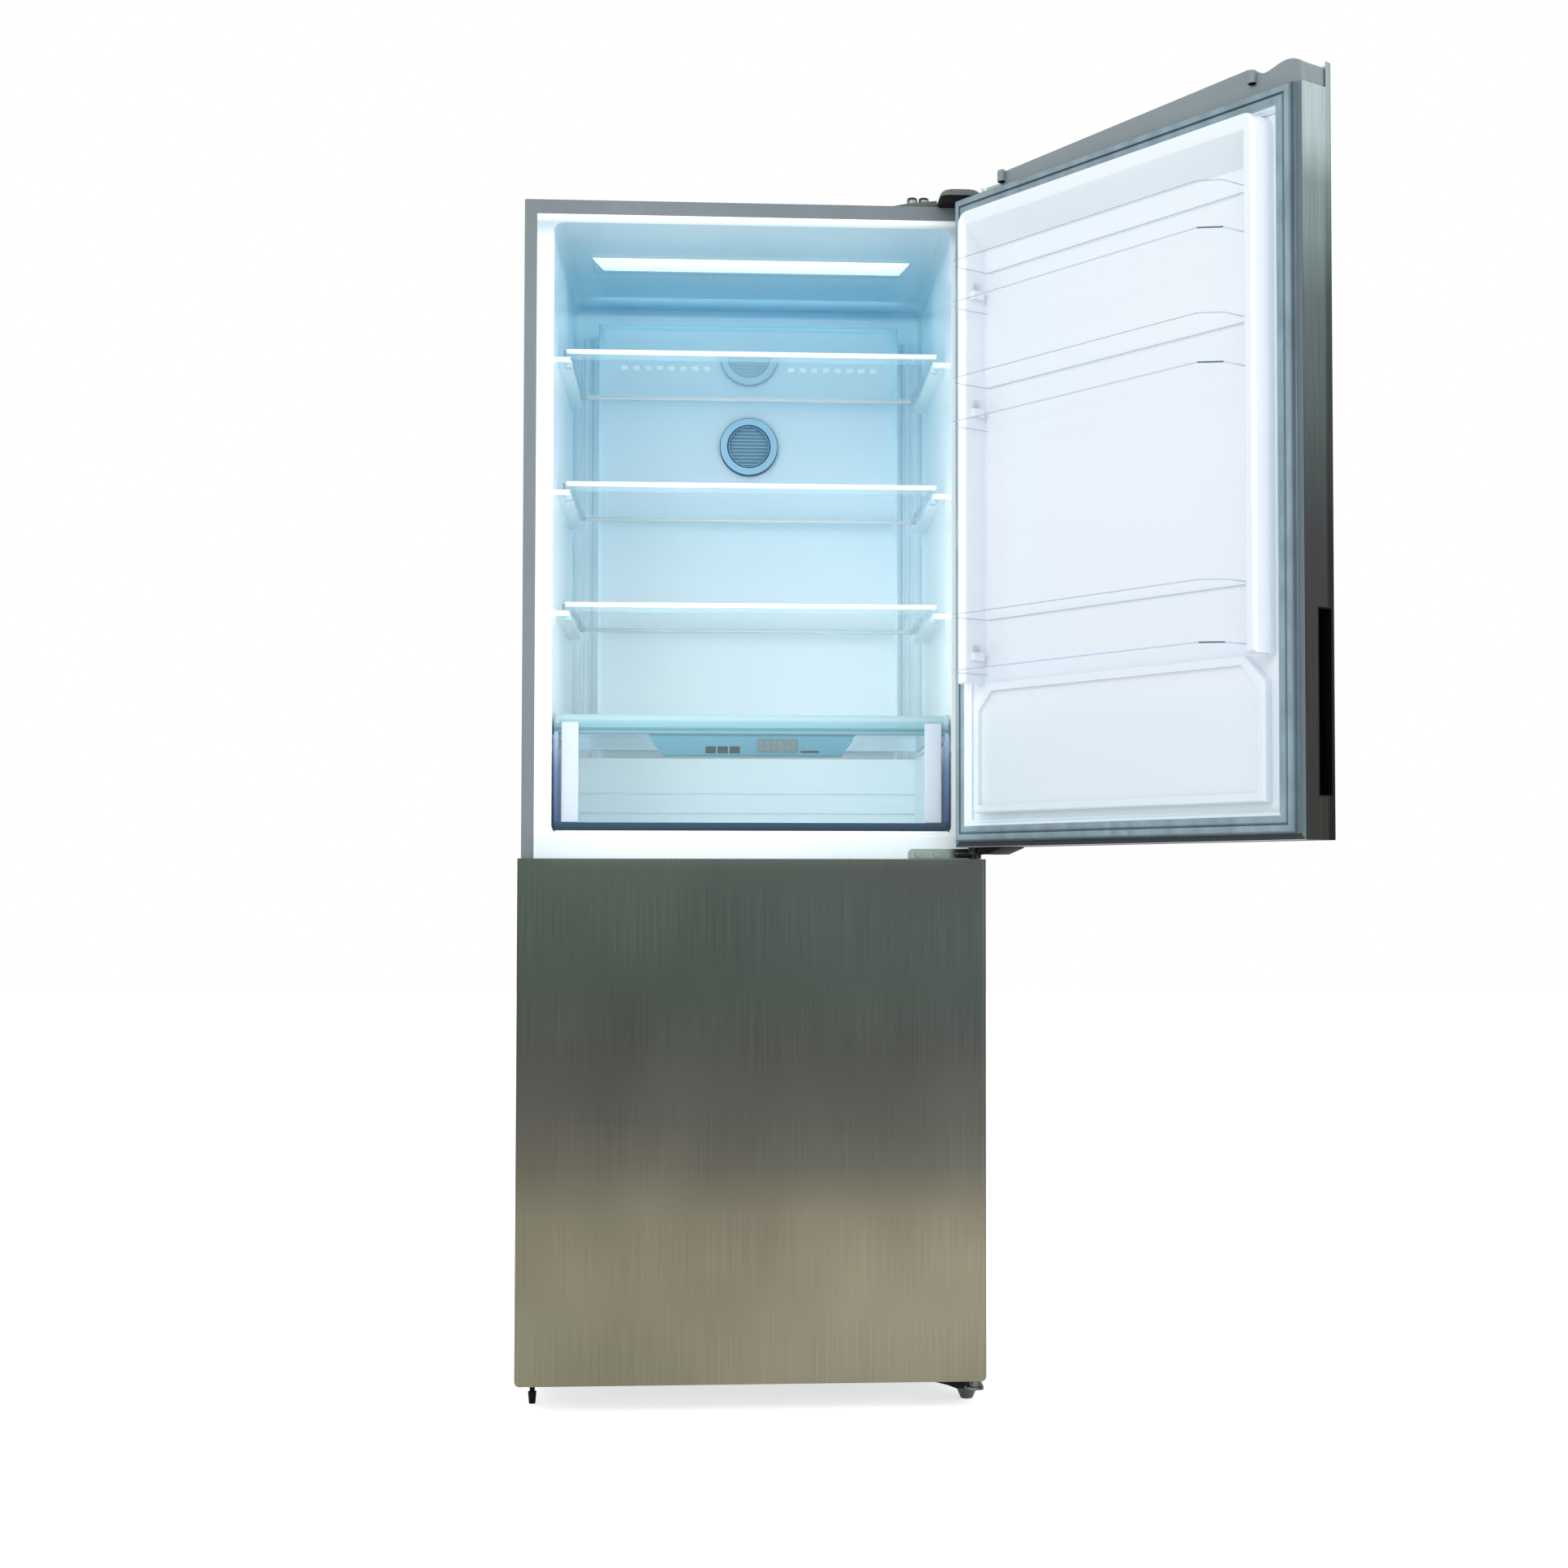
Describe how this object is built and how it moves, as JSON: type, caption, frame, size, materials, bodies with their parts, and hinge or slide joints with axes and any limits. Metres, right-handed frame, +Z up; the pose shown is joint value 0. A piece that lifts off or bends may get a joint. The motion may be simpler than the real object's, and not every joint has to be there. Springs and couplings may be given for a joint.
{
  "type": "bottom freezer refrigerator",
  "caption": "Free-standing bottom freezer refrigerator with a tall hinged fridge door standing open, glass shelves, door bins, a crisper and a freezer with drawers below.",
  "frame": {"origin": "on the floor, midway between the cabinet's side panels, in the plane of the cabinet's front flange, behind the doors", "axes": "+X to the right as seen from the front, +Y towards the rear, +Z up"},
  "size_m": [1.0959, 1.2437, 1.866],
  "materials": {
    "painted_steel": "satin grey paint",
    "galvanised_steel": "dull galvanised sheet",
    "stainless_steel": "fine vertical brushing under a clear coat",
    "white_liner": "smooth moulded, slightly glossy",
    "white_trim": "satin moulded",
    "clear_trim": "translucent moulded",
    "clear_plastic": "clear moulded, blue at its edges",
    "shelf_glass": "tempered sheet",
    "lamp_acrylic": "opal, lit from behind",
    "circuit_board": "coated board",
    "grey_plastic": "satin moulded",
    "black_plastic": "fine grained",
    "black_rubber": "matt",
    "black_enamel": "semi gloss enamel",
    "door_seal": "soft vinyl, matt",
    "zinc_steel": "bright zinc plate",
    "bare_aluminium": "mill finish",
    "polyurethane_foam": "foamed in place, hidden"
  },
  "bodies": {
    "cabinet": {"cabinet_shell": "painted_steel", "rear_panel": "galvanised_steel", "base_plate": "galvanised_steel", "insulation_foam": "polyurethane_foam", "fridge_liner": "white_liner", "freezer_liner": "white_liner", "mullion_trim": "white_trim", "machine_room_cover": "galvanised_steel", "compressor": "black_enamel", "compressor_mounts": "black_rubber", "drip_tray": "black_plastic", "condenser_coil": "black_enamel", "control_box": "white_trim", "power_inlet": "black_plastic", "lamp_diffuser": "lamp_acrylic", "lamp_board": "circuit_board", "air_duct_panel": "white_trim", "crisper_cover_glass": "shelf_glass", "crisper_cover_frame": "clear_trim", "evaporator": "bare_aluminium", "evaporator_cover": "white_trim", "top_hinge": "zinc_steel", "top_hinge_cover": "grey_plastic", "middle_hinge": "zinc_steel", "bottom_hinge": "zinc_steel", "hinge_screws": "zinc_steel", "roller_axles": "zinc_steel"},
    "filter_cover": {"filter_cover": "grey_plastic"},
    "humidity_slider": {"humidity_slider": "white_trim"},
    "crisper_drawer": {"crisper_drawer": "clear_plastic"},
    "evaporator_fan": {"evaporator_fan": "black_plastic"},
    "left_foot": {"left_foot": "black_plastic"},
    "right_foot": {"right_foot": "black_plastic"},
    "left_roller": {"left_roller": "black_plastic"},
    "right_roller": {"right_roller": "black_plastic"},
    "fridge_door": {"fridge_door_skin": "stainless_steel", "fridge_door_liner": "white_liner", "fridge_door_foam": "polyurethane_foam", "fridge_door_gasket": "door_seal", "fridge_door_top_cap": "grey_plastic", "fridge_door_bottom_cap": "grey_plastic", "fridge_door_grip": "black_plastic"},
    "freezer_door": {"freezer_door_skin": "stainless_steel", "freezer_door_liner": "white_liner", "freezer_door_foam": "polyurethane_foam", "freezer_door_gasket": "door_seal", "freezer_door_caps": "grey_plastic", "freezer_door_grip": "black_plastic"},
    "top_shelf": {"top_shelf_glass": "shelf_glass", "top_shelf_trim": "clear_trim"},
    "top_door_bin": {"top_door_bin": "clear_plastic"},
    "top_freezer_drawer": {"top_freezer_drawer": "clear_plastic"},
    "middle_shelf": {"middle_shelf_glass": "shelf_glass", "middle_shelf_trim": "clear_trim"},
    "middle_door_bin": {"middle_door_bin": "clear_plastic"},
    "middle_freezer_drawer": {"middle_freezer_drawer": "clear_plastic"},
    "bottom_shelf": {"bottom_shelf_glass": "shelf_glass", "bottom_shelf_trim": "clear_trim"},
    "bottom_door_bin": {"bottom_door_bin": "clear_plastic"},
    "bottom_freezer_drawer": {"bottom_freezer_drawer": "clear_plastic"}
  },
  "joints": [
    {"name": "fridge_door_swing", "type": "hinge", "parent": "cabinet", "child": "fridge_door", "pos_m": [0.336, -0.037, 0.84], "axis": [0, 0, 1], "range_deg": [-124, 6]},
    {"name": "freezer_door_swing", "type": "hinge", "parent": "cabinet", "child": "freezer_door", "pos_m": [0.336, -0.037, 0.044], "axis": [0, 0, 1], "range_deg": [0, 130]},
    {"name": "top_door_bin_lift", "type": "slide", "parent": "fridge_door", "child": "top_door_bin", "axis": [0, 0, 1], "range_m": [0, 0.02]},
    {"name": "middle_door_bin_lift", "type": "slide", "parent": "fridge_door", "child": "middle_door_bin", "axis": [0, 0, 1], "range_m": [0, 0.02]},
    {"name": "bottom_door_bin_lift", "type": "slide", "parent": "fridge_door", "child": "bottom_door_bin", "axis": [0, 0, 1], "range_m": [0, 0.02]},
    {"name": "top_shelf_slide", "type": "slide", "parent": "cabinet", "child": "top_shelf", "axis": [0, -1, 0], "range_m": [0, 0.28]},
    {"name": "middle_shelf_slide", "type": "slide", "parent": "cabinet", "child": "middle_shelf", "axis": [0, -1, 0], "range_m": [0, 0.28]},
    {"name": "bottom_shelf_slide", "type": "slide", "parent": "cabinet", "child": "bottom_shelf", "axis": [0, -1, 0], "range_m": [0, 0.28]},
    {"name": "crisper_slide", "type": "slide", "parent": "cabinet", "child": "crisper_drawer", "axis": [0, -1, 0], "range_m": [0, 0.33]},
    {"name": "top_freezer_drawer_slide", "type": "slide", "parent": "cabinet", "child": "top_freezer_drawer", "axis": [0, -1, 0], "range_m": [0, 0.02]},
    {"name": "middle_freezer_drawer_slide", "type": "slide", "parent": "cabinet", "child": "middle_freezer_drawer", "axis": [0, -1, 0], "range_m": [0, 0.02]},
    {"name": "bottom_freezer_drawer_slide", "type": "slide", "parent": "cabinet", "child": "bottom_freezer_drawer", "axis": [0, -1, 0], "range_m": [0, 0.02]},
    {"name": "humidity_slide", "type": "slide", "parent": "cabinet", "child": "humidity_slider", "axis": [1, 0, 0], "range_m": [-0.078, 0.034]},
    {"name": "filter_cover_twist", "type": "hinge", "parent": "cabinet", "child": "filter_cover", "pos_m": [0, 0.46, 1.54], "axis": [0, 1, 0], "range_deg": [0, 45]},
    {"name": "evaporator_fan_spin", "type": "hinge", "parent": "cabinet", "child": "evaporator_fan", "pos_m": [0, 0.47, 0.69], "axis": [0, 1, 0], "continuous": true},
    {"name": "left_foot_turn", "type": "hinge", "parent": "cabinet", "child": "left_foot", "pos_m": [-0.33, 0.025, 0], "axis": [0, 0, 1], "continuous": true},
    {"name": "right_foot_turn", "type": "hinge", "parent": "cabinet", "child": "right_foot", "pos_m": [0.33, 0.025, 0], "axis": [0, 0, 1], "continuous": true},
    {"name": "left_roller_spin", "type": "hinge", "parent": "cabinet", "child": "left_roller", "pos_m": [-0.31, 0.585, 0.02], "axis": [1, 0, 0], "continuous": true},
    {"name": "right_roller_spin", "type": "hinge", "parent": "cabinet", "child": "right_roller", "pos_m": [0.31, 0.585, 0.02], "axis": [1, 0, 0], "continuous": true}
  ]
}
